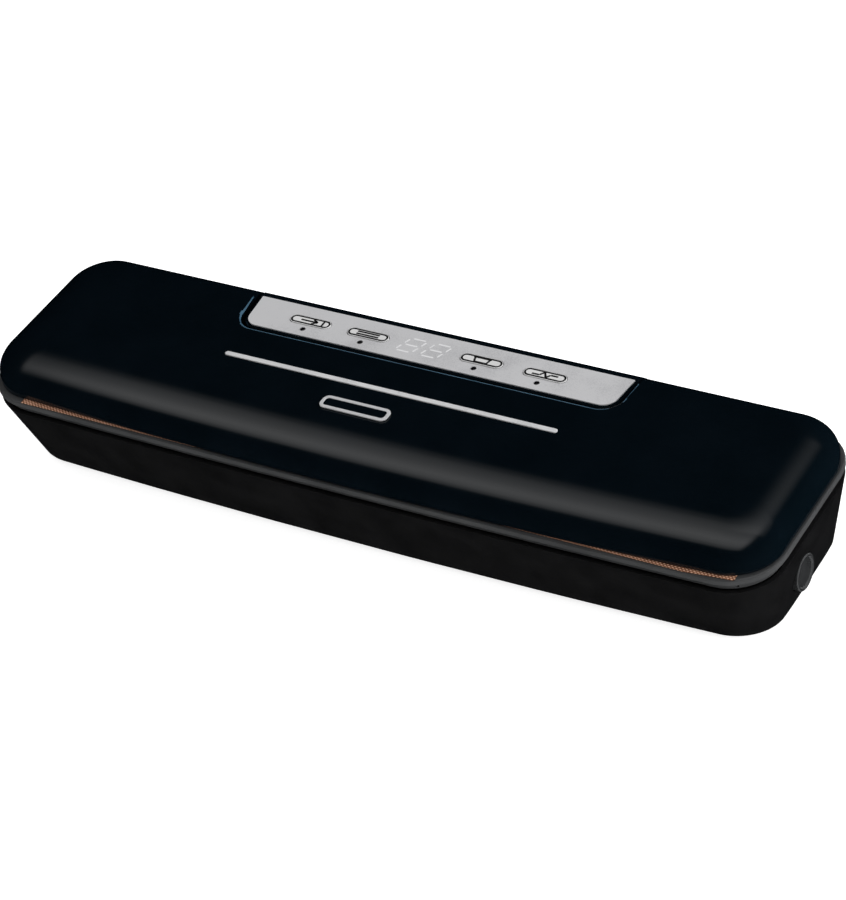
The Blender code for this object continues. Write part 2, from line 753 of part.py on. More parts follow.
def make_liner(finish, parent):
    inset = LID_WALL + 0.4
    slab = prism(lid_outline(inset), LINER_BOTTOM, LINER_TOP)
    liner = node("lid_liner", slab, finish, LID_AXIS, parent)
    wall = prism(notch_outline(-3.4, 43.0), LINER_TOP - 0.5, SKIRT_BOTTOM - 0.4)
    add_shape(liner, wall, "notch_wall")
    add_shape(liner, prism(trough_outline(-1.5), LINER_TOP - 0.5, CHAMBER_ROOF + 1.5), "chamber_roof")
    cut_shape(liner, prism(notch_outline(-1.7, 60.0), 40, 70), "notch")
    cut_shape(liner, prism(trough_outline(0.0), 46, CHAMBER_ROOF), "chamber")
    cut_shape(liner, gasket_ring(GAP, 46, 48.2), "gasket_groove")
    cut_shape(liner, press_bar_block(GAP, 46, 48.2), "bar_groove")
    clearances = []
    for middle in (-HINGE_X, HINGE_X):
        clearances.append(block((middle - 16, middle + 16), (43.2, 52), (44, 52)))
    cut_shape(liner, joined(clearances), "hinge_clearances")


def make_lid_fittings(finishes, parent):
    node("upper_gasket", gasket_ring(0, 46.9, 47.9), finishes["foam"], LID_AXIS, parent)
    bar = press_bar_block(0, 46.5, 47.9)
    node("press_bar", bar, finishes["silicone"], LID_AXIS, parent)
    strip = strip_block(0, LID_TOP - 0.3, LID_TOP + 0.35)
    node("trim_strip", strip, finishes["bright"], LID_AXIS, parent)
    badge = block(BADGE_X, BADGE_Y, (LID_TOP + GAP, LID_TOP + 0.9), 3.0)
    node("lid_badge", badge, finishes["silver"], LID_AXIS, parent)
    for label, side in (("left", -1), ("right", 1)):
        hook = catch_hook() if side > 0 else mirrored(catch_hook())
        node(f"catch_hook_{label}", hook, finishes["black"], LID_AXIS, parent)
    for i, (x, y) in enumerate(((-185, 30), (185, 30), (-115, 20), (118, 20)), 1):
        head = turned([(2.6, 0), (3.0, 0.3), (3.0, 0.6)], (x, y, LINER_BOTTOM - 0.9), steps=12)
        node(f"liner_screw_{i}", head, finishes["steel"], LID_AXIS, parent)


def press_bar_block(growth, low, high):
    x = (SEAL_LEFT + 2 - growth, SEAL_RIGHT - 4 + growth)
    return block(x, (SEAL_Y - 1.8 - growth, SEAL_Y + 1.8 + growth), (low, high))


def strip_block(growth, low, high):
    length = STRIP_LENGTH + 2 * growth
    return pill(STRIP_X, STRIP_Y, length, STRIP_WIDTH + 2 * growth, low, high)


def catch_hook():
    """A tongue under the lid with a barb that faces the end wall."""
    outer = [(HOOK_X + 2.8, 38.6), (HOOK_X + 1.0, 40.4), (HOOK_X + 1.0, LINER_BOTTOM - GAP)]
    inner = [(HOOK_X - 1.0, LINER_BOTTOM - GAP), (HOOK_X - 1.0, 37.0), (HOOK_X + 1.2, 37.0)]
    mesh = prism(outer + inner, -4, 4)
    turn = Matrix(((1, 0, 0), (0, 0, 1), (0, 1, 0))).to_4x4()
    bmesh.ops.transform(mesh, matrix=turn, verts=mesh.verts)
    bmesh.ops.recalc_face_normals(mesh, faces=mesh.faces)
    bmesh.ops.translate(mesh, verts=mesh.verts, vec=Vector((0, HOOK_Y, 0)) * MM)
    return mesh


def make_hinge_pins(finish):
    for label, x in (("left", -HINGE_X), ("right", HINGE_X)):
        half = KNUCKLE_HALF + 5.4
        pin = turned([(PIN_RADIUS, -half), (PIN_RADIUS, half)], (x, HINGE_Y, HINGE_Z), "X")
        node(f"hinge_pin_{label}", pin, finish)


def main():
    clear_scene()
    finishes = make_materials()
    make_tub(finishes["black"])
    make_feet(finishes["rubber"])
    make_tub_screws(finishes["steel"])
    make_deck(finishes["rim"])
    make_tray(finishes["black"])
    node("lower_gasket", gasket_ring(0, RIM_TOP - 1.2, RIM_TOP + 0.5), finishes["foam"])
    make_seal_line(finishes)
    make_console(finishes["navy"])
    make_fascia(finishes)
    make_buttons(finishes["silver"])
    make_control_board(finishes)
    make_pump(finishes)
    make_power(finishes)
    make_releases(finishes)
    make_hinge_pins(finishes["steel"])
    lid = pivot("lid_hinge_axis", LID_AXIS)
    make_lid_shell(finishes["navy"], lid)
    make_liner(finishes["black"], lid)
    make_lid_fittings(finishes, lid)


main()
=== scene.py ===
from math import cos, pi, radians, sin, sqrt

import bpy
from mathutils import Matrix, Vector


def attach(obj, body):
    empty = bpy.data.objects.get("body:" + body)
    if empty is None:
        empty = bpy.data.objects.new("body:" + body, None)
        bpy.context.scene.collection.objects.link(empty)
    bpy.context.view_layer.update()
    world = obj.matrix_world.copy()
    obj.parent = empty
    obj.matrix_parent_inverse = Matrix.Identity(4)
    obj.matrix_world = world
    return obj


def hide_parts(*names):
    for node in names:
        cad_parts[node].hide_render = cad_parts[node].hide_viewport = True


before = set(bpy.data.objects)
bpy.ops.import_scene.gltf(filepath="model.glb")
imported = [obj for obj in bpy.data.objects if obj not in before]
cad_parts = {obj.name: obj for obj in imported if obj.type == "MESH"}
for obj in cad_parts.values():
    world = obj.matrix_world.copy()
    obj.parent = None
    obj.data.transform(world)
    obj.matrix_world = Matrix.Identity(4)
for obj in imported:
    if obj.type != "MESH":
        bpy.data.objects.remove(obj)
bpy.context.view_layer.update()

# Vacuum sealer, dressed for the studio. Lengths are in millimetres until mm turns them to metres.
# +X runs along the sealer, -Y is its front, Z is up, and its feet stand on Z = 0.
mm = 0.001
print("frame loaded:", len(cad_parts), "nodes")


# Shaping helpers.

def deselectAll():
    if bpy.context.mode != "OBJECT":
        bpy.ops.object.mode_set(mode="OBJECT")
    bpy.ops.object.select_all(action="DESELECT")


def activate(piece):
    deselectAll()
    piece.select_set(True)
    bpy.context.view_layer.objects.active = piece


def settle(piece, name):
    # leaves the object at the origin with its place in its mesh
    activate(piece)
    bpy.ops.object.transform_apply(location=True, rotation=True, scale=True)
    piece.name = name
    piece.data.name = name
    return piece


def addBox(name, x, y, z):
    deselectAll()
    centre = [(low + high) / 2 * mm for low, high in (x, y, z)]
    bpy.ops.mesh.primitive_cube_add(size=1, location=centre)
    bpy.context.object.scale = [(high - low) * mm for low, high in (x, y, z)]
    return settle(bpy.context.object, name)


def addRod(name, radius, centre, length, axis, sides):
    deselectAll()
    turns = {"X": (0, pi / 2, 0), "Z": (0, 0, 0)}
    place = [value * mm for value in centre]
    bpy.ops.mesh.primitive_cylinder_add(
        vertices=sides, radius=radius * mm, depth=length * mm, location=place, rotation=turns[axis]
    )
    return settle(bpy.context.object, name)


def pick(piece, kind, test):
    # opens edit mode with only what passes the test selected
    activate(piece)
    bpy.ops.object.mode_set(mode="EDIT")
    bpy.ops.mesh.select_mode(type=kind)
    bpy.ops.mesh.select_all(action="DESELECT")
    bpy.ops.object.mode_set(mode="OBJECT")
    points = [vertex.co / mm for vertex in piece.data.vertices]
    if kind == "VERT":
        for vertex, point in zip(piece.data.vertices, points):
            vertex.select = bool(test(point))
    elif kind == "EDGE":
        for edge in piece.data.edges:
            edge.select = bool(test(*[points[i] for i in edge.vertices]))
    else:
        for face in piece.data.polygons:
            face.select = bool(test(face.center / mm, face.normal))
    bpy.ops.object.mode_set(mode="EDIT")


def upright(a, b):
    return abs(a.x - b.x) < 0.01 and abs(a.y - b.y) < 0.01


def levelAt(height):
    return lambda a, b: abs(a.z - height) < 0.01 and abs(b.z - height) < 0.01


def bevelPicked(width, steps):
    bpy.ops.mesh.bevel(
        offset=width * mm, segments=steps, profile=0.5, affect="EDGES", clamp_overlap=False
    )
    bpy.ops.object.mode_set(mode="OBJECT")


def insetPicked(*rounds):
    # each round is (how far in, how far out along the normal)
    for inwards, outwards in rounds:
        bpy.ops.mesh.inset(thickness=inwards * mm, depth=outwards * mm, use_even_offset=True)
    bpy.ops.object.mode_set(mode="OBJECT")


def roundedBox(name, x, y, z, radius, steps):
    piece = addBox(name, x, y, z)
    pick(piece, "EDGE", upright)
    bevelPicked(radius, steps)
    mergeDoubles(piece)
    return piece


def mergeDoubles(piece):
    pick(piece, "FACE", lambda centre, normal: True)
    bpy.ops.mesh.remove_doubles(threshold=0.00001)
    bpy.ops.object.mode_set(mode="OBJECT")


def sliceAcross(piece, stations):
    # flat cuts across the length, so that a long side can take a curve
    for station in stations:
        pick(piece, "FACE", lambda centre, normal: True)
        bpy.ops.mesh.bisect(plane_co=(station * mm, 0, 0), plane_no=(1, 0, 0))
        bpy.ops.object.mode_set(mode="OBJECT")


def useModifier(piece, kind, **settings):
    activate(piece)
    modifier = piece.modifiers.new(kind.title(), kind)
    for name, value in settings.items():
        setattr(modifier, name, value)
    bpy.ops.object.modifier_apply(modifier=modifier.name)


def combine(piece, tool, operation="DIFFERENCE"):
    useModifier(piece, "BOOLEAN", operation=operation, solver="MANIFOLD", object=tool)
    bpy.data.objects.remove(tool)


def joinPieces(name, pieces):
    deselectAll()
    for piece in pieces:
        piece.select_set(True)
    bpy.context.view_layer.objects.active = pieces[0]
    if len(pieces) > 1:
        bpy.ops.object.join()
    return settle(bpy.context.object, name)


def tidyMesh(piece):
    mergeDoubles(piece)
    pick(piece, "FACE", lambda centre, normal: True)
    bpy.ops.mesh.dissolve_limited(angle_limit=radians(0.5))
    bpy.ops.object.mode_set(mode="OBJECT")


def softenEdges(piece, width, steps=2):
    # rounds every edge sharper than 35 degrees
    useModifier(
        piece, "BEVEL", width=width * mm, segments=steps, limit_method="ANGLE",
        angle_limit=radians(35),
    )
    smoothSkin(piece)


def smoothSkin(piece, angle=40):
    activate(piece)
    bpy.ops.object.shade_smooth_by_angle(angle=radians(angle))
    useModifier(piece, "WEIGHTED_NORMAL", keep_sharp=True, weight=50)


def copyNode(node, name, dissolved=True):
    # a merged copy of a frame solid, ready to be finished more finely
    piece = bpy.data.objects.new(name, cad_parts[node].data.copy())
    piece.data.name = name
    bpy.context.scene.collection.objects.link(piece)
    activate(piece)
    bpy.ops.mesh.customdata_custom_splitnormals_clear()
    if dissolved:
        tidyMesh(piece)
    else:
        mergeDoubles(piece)
    return piece


def copyPiece(piece, name, shift=(0, 0, 0), mirror=False):
    twin = piece.copy()
    twin.data = piece.data.copy()
    bpy.context.scene.collection.objects.link(twin)
    twin.location = Vector(shift) * mm
    twin.scale.x = -1 if mirror else 1
    settle(twin, name)
    if mirror:
        pick(twin, "FACE", lambda centre, normal: True)
        bpy.ops.mesh.normals_make_consistent(inside=False)
        bpy.ops.object.mode_set(mode="OBJECT")
        smoothSkin(twin)
    return twin


def mount(piece, body, nodes, slot, *finishes):
    # finishes the piece and sets it on its body in place of the frame's plain solids
    piece.data.materials.clear()
    for finish in finishes:
        piece.data.materials.append(finish)
    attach(piece, body)
    if nodes:
        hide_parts(*nodes)


def coat(node, finish):
    # a frame solid whose shape is right keeps it and takes a better finish
    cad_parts[node].material_slots[0].material = finish


# Finishes. Tints are sRGB hex, grain and blotch sizes are millimetres.

def hexColour(code):
    parts = [int(code[i : i + 2], 16) / 255 for i in (1, 3, 5)]
    return [c / 12.92 if c <= 0.04045 else ((c + 0.055) / 1.055) ** 2.4 for c in parts] + [1.0]


def addNode(tree, kind, settings, inputs):
    node = tree.nodes.new("ShaderNode" + kind)
    for name, value in settings.items():
        setattr(node, name, value)
    for name, value in inputs.items():
        if isinstance(value, bpy.types.NodeSocket):
            tree.links.new(value, node.inputs[name])
        else:
            node.inputs[name].default_value = value
    return node


def startMaterial(name, look):
    material = bpy.data.materials.new(name)
    material.use_nodes = True
    shader = material.node_tree.nodes["Principled BSDF"]
    shader.inputs["Metallic"].default_value = look.get("metallic", 0.0)
    if "ior" in look:
        shader.inputs["IOR"].default_value = look["ior"]
    material.diffuse_color = hexColour(look["tints"][0])
    return material, material.node_tree, shader


def surfaceFinish(name, look):
    # two tints in soft blotches, an uneven gloss and a fine raised grain, which stretch draws into lines
    material, tree, shader = startMaterial(name, look)
    place = addNode(tree, "TexCoord", {}, {}).outputs["Object"]
    drawn = addNode(tree, "Mapping", {}, {"Vector": place, "Scale": look.get("stretch", (1, 1, 1))})
    blotch = addNode(
        tree, "TexNoise", {}, {"Vector": place, "Scale": 1 / (look["blotch"] * mm), "Detail": 3.0}
    )
    grain = addNode(
        tree, "TexNoise", {},
        {"Vector": drawn.outputs["Vector"], "Scale": 1 / (look["grain"] * mm), "Detail": 2.0},
    )
    mixed = addNode(
        tree, "Math", {"operation": "MULTIPLY_ADD"},
        {0: grain.outputs["Fac"], 1: look.get("grainTint", 0.3), 2: blotch.outputs["Fac"]},
    )
    share = addNode(
        tree, "MapRange", {}, {"Value": mixed.outputs[0], "From Min": 0.45, "From Max": 0.85}
    )
    tints = [hexColour(code) for code in look["tints"]]
    tint = addNode(
        tree, "Mix", {"data_type": "RGBA"}, {0: share.outputs["Result"], 6: tints[0], 7: tints[1]}
    )
    tree.links.new(tint.outputs[2], shader.inputs["Base Color"])
    gloss = addNode(
        tree, "MapRange", {},
        {"Value": blotch.outputs["Fac"], "From Min": 0.3, "From Max": 0.7,
         "To Min": look["rough"][0], "To Max": look["rough"][1]},
    )
    tree.links.new(gloss.outputs["Result"], shader.inputs["Roughness"])
    relief = addNode(
        tree, "Bump", {},
        {"Height": grain.outputs["Fac"], "Strength": look["bump"], "Distance": look["relief"] * mm},
    )
    tree.links.new(relief.outputs["Normal"], shader.inputs["Normal"])
    return material


# High-gloss ABS from a polished mould: almost black navy with a faint orange peel.
glossNavyAbs = surfaceFinish("gloss_navy_abs_polished_mould", {
    "tints": ("#040b10", "#060e14"), "blotch": 30.0, "rough": (0.12, 0.16),
    "grain": 3.0, "bump": 0.02, "relief": 0.02, "ior": 1.5,
})
# The same ABS painted paler and bluer on the console opening's edges: a painted highlight.
paintedHighlightNavyAbs = surfaceFinish("gloss_navy_abs_painted_highlight", {
    "tints": ("#3c5a6f", "#4e7086"), "blotch": 10.0, "rough": (0.2, 0.26),
    "grain": 3.0, "bump": 0.02, "relief": 0.02, "ior": 1.5,
})
# Spark-eroded black ABS: fine leathery grain that spreads the light. Drawn coarser than life, to show.
sparkBlackAbs = surfaceFinish("black_abs_spark_textured", {
    "tints": ("#0f0f10", "#141415"), "blotch": 14.0, "rough": (0.46, 0.58),
    "grain": 0.55, "bump": 0.35, "relief": 0.06, "ior": 1.5,
})
# Satin ABS from a blasted mould: a calm dark grey, softly lit on its round edge.
satinGreyAbs = surfaceFinish("grey_abs_blasted_mould", {
    "tints": ("#3e3f40", "#464748"), "blotch": 20.0, "rough": (0.3, 0.38),
    "grain": 0.6, "bump": 0.12, "relief": 0.03, "ior": 1.5,
})
# Metallised polyester film: silver ink grain, slightly cloudy. The grain is drawn coarser than life.
silverFilm = surfaceFinish("silver_film_metallised", {
    "tints": ("#c6c6c9", "#e4e4e6"), "blotch": 24.0, "rough": (0.36, 0.46), "metallic": 0.2,
    "grain": 0.5, "grainTint": 0.7, "bump": 0.12, "relief": 0.02,
})
# The same film over the button caps, painted paler: a painted highlight on the caps.
highlightPaleFilm = surfaceFinish("silver_film_painted_highlight", {
    "tints": ("#dededf", "#f2f2f2"), "blotch": 12.0, "rough": (0.34, 0.44), "metallic": 0.1,
    "grain": 0.5, "grainTint": 0.7, "bump": 0.1, "relief": 0.02,
})
# Hot-stamped bright foil over ABS, drawn lengthwise.
brightFoil = surfaceFinish("bright_trim_hot_stamped", {
    "tints": ("#e2e3e5", "#f4f4f5"), "blotch": 10.0, "rough": (0.25, 0.34), "metallic": 0.15,
    "grain": 0.4, "stretch": (0.04, 1, 1), "bump": 0.1, "relief": 0.01,
})
# Brushed aluminium plate: fine lines along its length.
brushedAluminium = surfaceFinish("aluminium_brushed", {
    "tints": ("#d0d1d4", "#ececee"), "blotch": 8.0, "rough": (0.28, 0.38), "metallic": 0.3,
    "grain": 0.35, "grainTint": 0.8, "stretch": (0.03, 1, 1), "bump": 0.18, "relief": 0.015,
})
# Screen-printed matt ink.
markInk = surfaceFinish("black_ink_screen_printed", {
    "tints": ("#060607", "#0c0c0d"), "blotch": 2.0, "rough": (0.5, 0.6),
    "grain": 0.2, "bump": 0.05, "relief": 0.01,
})
lineInk = surfaceFinish("dark_grey_ink_screen_printed", {
    "tints": ("#0c0d0e", "#151617"), "blotch": 2.0, "rough": (0.4, 0.5),
    "grain": 0.2, "bump": 0.05, "relief": 0.01,
})
# Unlit segments behind a milky light guide.
digitGuide = surfaceFinish("light_guide_milky_polycarbonate", {
    "tints": ("#f2f2f4", "#fbfbfc"), "blotch": 3.0, "rough": (0.3, 0.4),
    "grain": 0.5, "bump": 0.03, "relief": 0.01, "ior": 1.58,
})
# Smoked polycarbonate lamp.
lampSmoke = surfaceFinish("lamp_smoked_polycarbonate", {
    "tints": ("#08080a", "#0e0e10"), "blotch": 1.0, "rough": (0.12, 0.2),
    "grain": 0.3, "bump": 0.03, "relief": 0.01, "ior": 1.58,
})
# Natural rubber feet, moulded: dead matt with a dusty bloom.
footRubber = surfaceFinish("rubber_compression_moulded", {
    "tints": ("#141414", "#202021"), "blotch": 4.0, "rough": (0.75, 0.9),
    "grain": 0.5, "bump": 0.3, "relief": 0.05, "ior": 1.52,
})
# Closed-cell sponge seal, foamed: small open pores in a matt skin.
spongeSeal = surfaceFinish("sponge_rubber_foamed", {
    "tints": ("#1b1c1e", "#2c2d30"), "blotch": 3.0, "rough": (0.8, 0.95),
    "grain": 0.45, "grainTint": 0.8, "bump": 0.8, "relief": 0.2, "ior": 1.5,
})
# Silicone pressing strip, moulded: soft red with a slight sheen.
redSilicone = surfaceFinish("silicone_red_moulded", {
    "tints": ("#7a1f1a", "#8e2a22"), "blotch": 5.0, "rough": (0.5, 0.6),
    "grain": 0.5, "bump": 0.1, "relief": 0.03, "ior": 1.41,
})
# Zinc-plated steel: bluish white, lightly stained.
zincSteel = surfaceFinish("steel_zinc_plated", {
    "tints": ("#9da1a6", "#b6b9be"), "blotch": 3.0, "rough": (0.28, 0.42), "metallic": 1.0,
    "grain": 0.3, "grainTint": 0.5, "bump": 0.12, "relief": 0.01,
})
# Nickel-plated brass pins, tumbled.
nickelPin = surfaceFinish("brass_nickel_plated", {
    "tints": ("#c2bfb8", "#d6d3cc"), "blotch": 2.0, "rough": (0.16, 0.26), "metallic": 1.0,
    "grain": 0.3, "bump": 0.05, "relief": 0.01,
})
# Glass-epoxy board with a green solder mask.
maskedBoard = surfaceFinish("circuit_board_solder_masked", {
    "tints": ("#0f4a2a", "#1a5c36"), "blotch": 6.0, "rough": (0.3, 0.42),
    "grain": 0.8, "grainTint": 0.8, "bump": 0.2, "relief": 0.04, "ior": 1.55,
})
# Glass-filled nylon, moulded: grey-black with pale fibre flecks.
filledNylon = surfaceFinish("nylon_glass_filled_moulded", {
    "tints": ("#151516", "#232325"), "blotch": 5.0, "rough": (0.45, 0.6),
    "grain": 0.4, "grainTint": 0.7, "bump": 0.2, "relief": 0.03, "ior": 1.53,
})
# Platinum-cured silicone hose, extruded: milky, with faint draw lines.
milkyHose = surfaceFinish("silicone_milky_extruded", {
    "tints": ("#c9cac6", "#dcdcd8"), "blotch": 4.0, "rough": (0.35, 0.45),
    "grain": 0.6, "bump": 0.08, "relief": 0.02, "ior": 1.41,
})


def weaveFinish(name, look):
    # plain weave: threads along X and along Y show in turn, each with its own tint
    material, tree, shader = startMaterial(name, look)
    place = addNode(tree, "TexCoord", {}, {}).outputs["Object"]
    turns = 1 / (look["thread"] * mm * 2)
    # 0.314 takes turns in a metre to the wave node's own scale
    waves = []
    for direction in ("X", "Y"):
        wave = addNode(
            tree, "TexWave", {"bands_direction": direction, "wave_profile": "SIN"},
            {"Vector": place, "Scale": turns * 0.314, "Distortion": 0.3, "Detail": 1.0},
        )
        waves.append(wave.outputs["Fac"])
    over = addNode(tree, "Math", {"operation": "SUBTRACT"}, {0: waves[0], 1: waves[1]})
    lift = addNode(tree, "Math", {"operation": "ABSOLUTE"}, {0: over.outputs[0]})
    stain = addNode(tree, "TexNoise", {}, {"Vector": place, "Scale": 1 / (look["blotch"] * mm)})
    share = addNode(
        tree, "Math", {"operation": "MULTIPLY_ADD"},
        {0: stain.outputs["Fac"], 1: 0.5, 2: lift.outputs[0]},
    )
    ramp = addNode(tree, "ValToRGB", {}, {"Fac": share.outputs[0]})
    ramp.color_ramp.elements[0].color = hexColour(look["tints"][0])
    ramp.color_ramp.elements[0].position = 0.2
    ramp.color_ramp.elements[1].color = hexColour(look["tints"][2])
    ramp.color_ramp.elements[1].position = 0.95
    middle = ramp.color_ramp.elements.new(0.55)
    middle.color = hexColour(look["tints"][1])
    tree.links.new(ramp.outputs["Color"], shader.inputs["Base Color"])
    shader.inputs["Roughness"].default_value = look["rough"]
    relief = addNode(
        tree, "Bump", {},
        {"Height": lift.outputs[0], "Strength": look["bump"], "Distance": look["relief"] * mm},
    )
    tree.links.new(relief.outputs["Normal"], shader.inputs["Normal"])
    return material


# PTFE-coated glass cloth, woven: tan threads under a waxy film. The threads are drawn coarser than life.
coatedGlassCloth = weaveFinish("ptfe_coated_glass_cloth_woven", {
    "tints": ("#3e2519", "#a3664a", "#e2b699"), "thread": 0.85, "blotch": 6.0, "rough": 0.42,
    "bump": 0.5, "relief": 0.08, "ior": 1.38,
})
print("finishes made:", len(bpy.data.materials))


# Lid cover.

lidCover = {
    "half": 195.0, "front": -46.7, "back": 48.3, "cornerRadius": 21.9, "bow": 3.7, "edge": 46.6,
    "top": 61.6, "shoulder": 12.3, "frontShoulder": 22.0, "endShoulder": 20.0, "wall": 2.2,
    "skirtWall": 2.0, "skirtBack": 40.0, "skirtBottom": 56.4, "edgeRound": 0.35, "notchRound": 1.0,
}
hinge = {
    "x": 136.0, "y": 47.0, "z": 48.0, "barrel": 2.4, "barrelLength": 18, "pinHole": 1.5,
    "earGap": (9.01, 15), "earY": (43, 52), "earZ": (44, 51.4),
}
notch = {"x": 2.0, "front": 16.1, "half": 97.0, "flare": 0.1, "radius": 10.0, "cutBack": 60.0}
trim = {
    "x": -2.2, "y": -3.2, "length": 168.0, "width": 2.5, "low": 61.3, "high": 61.95, "gap": 0.3,
    "round": 0.3,
}


def notchBlock(name, inset, back, z):
    # the console's plan, flaring a little towards the open back
    front = notch["front"] + inset
    half = notch["half"] - inset
    radius = max(notch["radius"] - inset, 1.0)
    block = addBox(name, (notch["x"] - half, notch["x"] + half), (front, back), z)
    pick(block, "EDGE", lambda a, b: upright(a, b) and a.y < front + 0.01)
    bevelPicked(radius, 12)
    spread = notch["flare"] * (back - front - radius)
    pick(block, "VERT", lambda point: point.y > back - 0.01)
    bpy.ops.transform.resize(
        value=((half + spread) / half, 1, 1), center_override=(notch["x"] * mm, 0, 0)
    )
    bpy.ops.object.mode_set(mode="OBJECT")
    return block


def trimBlock(name, growth, low, high):
    half = trim["length"] / 2 + growth
    side = trim["width"] / 2 + growth
    x = (trim["x"] - half, trim["x"] + half)
    y = (trim["y"] - side, trim["y"] + side)
    return roundedBox(name, x, y, (low, high), side, 8)


def bowFront(piece, reach, bow):
    # the front half bows forwards along its length
    for vertex in piece.data.vertices:
        x, y, z = vertex.co / mm
        if y < 0:
            vertex.co.y -= bow(z) * max(0.0, 1 - (x / reach) ** 2) * mm


def widenShoulders(lid, reach):
    # the round shoulder becomes a flatter ellipse in front and at the ends
    s = lidCover
    for vertex in lid.data.vertices:
        x, y, z = vertex.co / mm
        rise = min(max((z - s["top"] + s["shoulder"]) / s["shoulder"], 0.0), 1.0)
        turn = 1 - sqrt(1 - rise * rise)
        fuller = 1 - (1 - rise**2.5) ** 0.4
        along = max(min(x / reach, 1.0), -1.0)
        vertex.co.x -= (s["endShoulder"] * fuller - s["shoulder"] * turn) * along * mm
        if y < 0:
            vertex.co.y += (s["frontShoulder"] - s["shoulder"]) * turn * mm


def makeLidCover():
    s = lidCover
    half, top, edge = s["half"], s["top"], s["edge"]
    depth = (s["front"], s["back"])
    lid = roundedBox("lid_cover", (-half, half), depth, (edge, top), s["cornerRadius"], 18)
    pick(lid, "EDGE", levelAt(top))
    bevelPicked(s["shoulder"], 18)
    pick(lid, "FACE", lambda centre, normal: normal.z < -0.9)
    bpy.ops.mesh.delete(type="FACE")
    reach = half - s["cornerRadius"]
    sliceAcross(lid, [reach * (-1 + i / 14) for i in range(1, 28)])
    bowFront(lid, reach, lambda z: s["bow"])
    widenShoulders(lid, reach)
    useModifier(lid, "SOLIDIFY", thickness=s["wall"] * mm, offset=-1, use_even_offset=True)
    skirt = notchBlock("skirt", -s["skirtWall"], s["skirtBack"], (s["skirtBottom"], top - 1))
    combine(lid, skirt, "UNION")
    combine(lid, notchBlock("notch_cutter", 0.0, notch["cutBack"], (40, 70)))
    near, far = hinge["earGap"]
    for side in (-1, 1):
        x = side * hinge["x"]
        for gap in ((x - far, x - near), (x + near, x + far)):
            combine(lid, addBox("ear_cutter", gap, hinge["earY"], hinge["earZ"]))
        middle = (x, hinge["y"], hinge["z"])
        barrel = addRod("barrel", hinge["barrel"], middle, hinge["barrelLength"], "X", 32)
        combine(lid, barrel, "UNION")
        combine(lid, addRod("pin_cutter", hinge["pinHole"], middle, 60, "X", 24))
    combine(lid, trimBlock("trim_cutter", trim["gap"], trim["low"] - trim["gap"], top + 1))
    pick(lid, "EDGE", lambda a, b: levelAt(top)(a, b) and onNotchEdge(a) and onNotchEdge(b))
    bevelPicked(s["notchRound"], 3)
    softenEdges(lid, s["edgeRound"], 3)
    return lid


def onNotchEdge(point):
    # on the outline that the console's opening leaves in the flat top
    radius = notch["radius"]
    depth = point.y - notch["front"] - radius
    side = abs(point.x - notch["x"]) - notch["half"] - notch["flare"] * max(depth, 0)
    onSide = depth > 0 and abs(side) < 0.1
    onCorner = -radius - 0.1 < depth <= 0 and -radius - 0.1 < side < 0.1
    return onSide or onCorner or (abs(point.y - notch["front"]) < 0.05 and side < 0)


def paintNotchHighlight(lid):
    # the opening's rounded edges take a painted highlight, a paler blue at the sides, and just along the
    # line in front
    for face in lid.data.polygons:
        centre = face.center / mm
        aside = abs(centre.x - notch["x"]) - notch["half"]
        atSide = abs(aside) < 6 and abs(face.normal.x) > 0.25 and notch["front"] - 1.5 < centre.y < 42
        inFront = aside < 0 and face.normal.y > 0.15 and abs(centre.y - notch["front"]) < 1.2
        if centre.z > 60.4 and (atSide or inFront):
            face.material_index = 1


lidPiece = makeLidCover()
# the lid's second finish is the painted highlight on the console opening's edges
mount(lidPiece, "lid", ["lid_shell"], "navy", glossNavyAbs, paintedHighlightNavyAbs)
paintNotchHighlight(lidPiece)
print("lid cover done")


# Trim strip and blank badge on the lid.

badge = {
    "x": (-26.0, 8.0), "y": (-22.8, -14.8), "z": (61.9, 62.5), "corner": 3.0, "border": 1.3,
    "sink": 0.2, "slope": 0.15, "round": 0.2,
}


def makeTrimStrip():
    strip = trimBlock("trim_line", 0.0, trim["low"], trim["high"])
    pick(strip, "EDGE", levelAt(trim["high"]))
    bevelPicked(trim["round"], 3)
    smoothSkin(strip)
    return strip


def makeBadge():
    plate = roundedBox("blank_badge", badge["x"], badge["y"], badge["z"], badge["corner"], 8)
    pick(plate, "EDGE", levelAt(badge["z"][1]))
    bevelPicked(badge["round"], 2)
    pick(plate, "FACE", lambda centre, normal: normal.z > 0.99 and centre.z > badge["z"][1] - 0.01)
    insetPicked((badge["border"], 0.0), (badge["slope"], -badge["sink"]))
    smoothSkin(plate, 30)
    return plate


def paintSunken(piece, height):
    # flat faces that look up at this height take the second finish
    for face in piece.data.polygons:
        if abs(face.center.z / mm - height) < 0.01 and face.normal.z > 0.9:
            face.material_index = 1


mount(makeTrimStrip(), "lid", ["trim_strip"], "bright", brightFoil)
blankBadge = makeBadge()
mount(blankBadge, "lid", ["lid_badge"], "silver", brushedAluminium, glossNavyAbs)
paintSunken(blankBadge, badge["z"][1] - badge["sink"])
print("lid trim done")


# Base tub.

tub = {
    "half": 195.7, "front": -49.3, "back": 50.9, "cornerRadius": 23.3, "top": 39.0, "bottom": 3.0,
    "floorShare": (0.9637, 0.8343), "floorCentre": 20.1, "bow": (3.24, 1.6), "wall": 2.0,
    "bottomRound": 0.9, "edgeRound": 0.5, "screws": ((120, -22), (120, 35)), "screwSeat": (4.0, 1.6),
}
release = {
    "y": -6.0, "z": 18.7, "radius": 8.3, "hole": 8.65, "holeX": 191, "face": 193.7, "round": 0.7,
    "flange": 1.3, "flangeX": (184.8, 186.2), "flangeRound": 0.2,
    "dish": ((0.55, 0.0), (0.25, -0.35), (0.35, -0.45), (1.4, -0.25), (2.0, -0.15), (1.6, -0.05)),
}
inlet = {"x": -150.0, "y": (42, 54), "z": 18.0, "half": (11.3, 6.3)}


